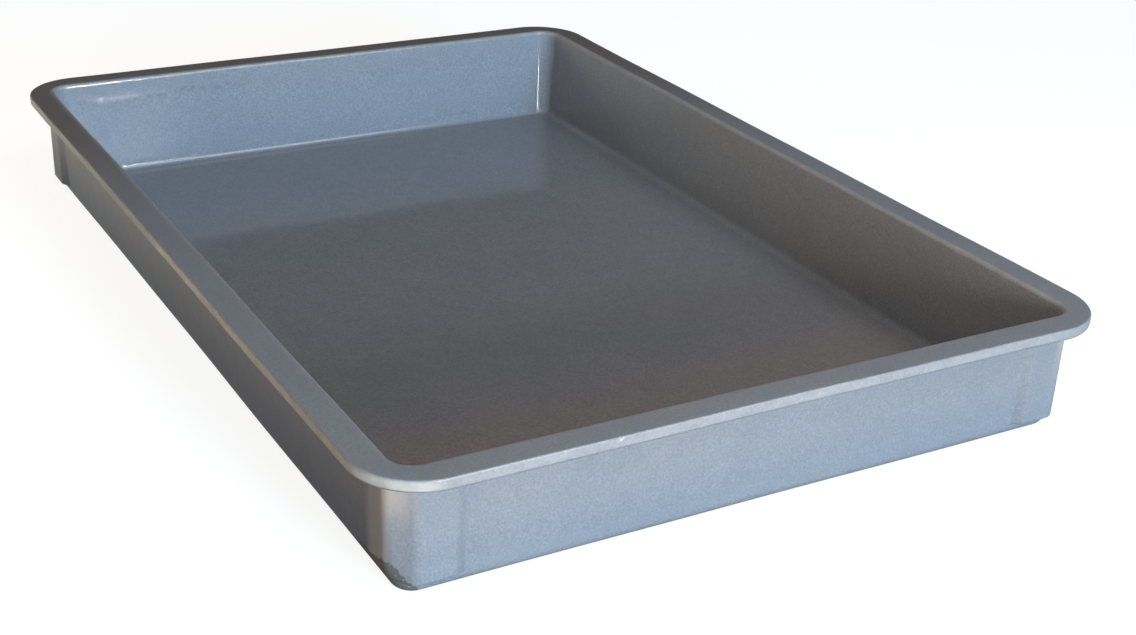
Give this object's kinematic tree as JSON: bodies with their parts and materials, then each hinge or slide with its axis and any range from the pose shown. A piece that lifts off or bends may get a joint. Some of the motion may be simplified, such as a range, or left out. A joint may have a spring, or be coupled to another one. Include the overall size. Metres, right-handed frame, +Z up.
{
  "type": "stacking tray",
  "caption": "Shallow rectangular moulded tray with a wide flat rim, leaning walls, a level floor and a stacking post at each corner.",
  "frame": {"origin": "middle of the flat underside, at the level that the tray stands on", "axes": "+Z up, +Y along the tray's length, +X along its width"},
  "size_m": [0.454, 0.654, 0.073],
  "materials": {
    "grey_moulding": "satin grey glass-fibre-reinforced polyester with a fine mottled grain",
    "steel_wire": "drawn, galvanised"
  },
  "bodies": {
    "root": {"tray_body": "grey_moulding", "rim_wire": "steel_wire"}
  },
  "joints": []
}
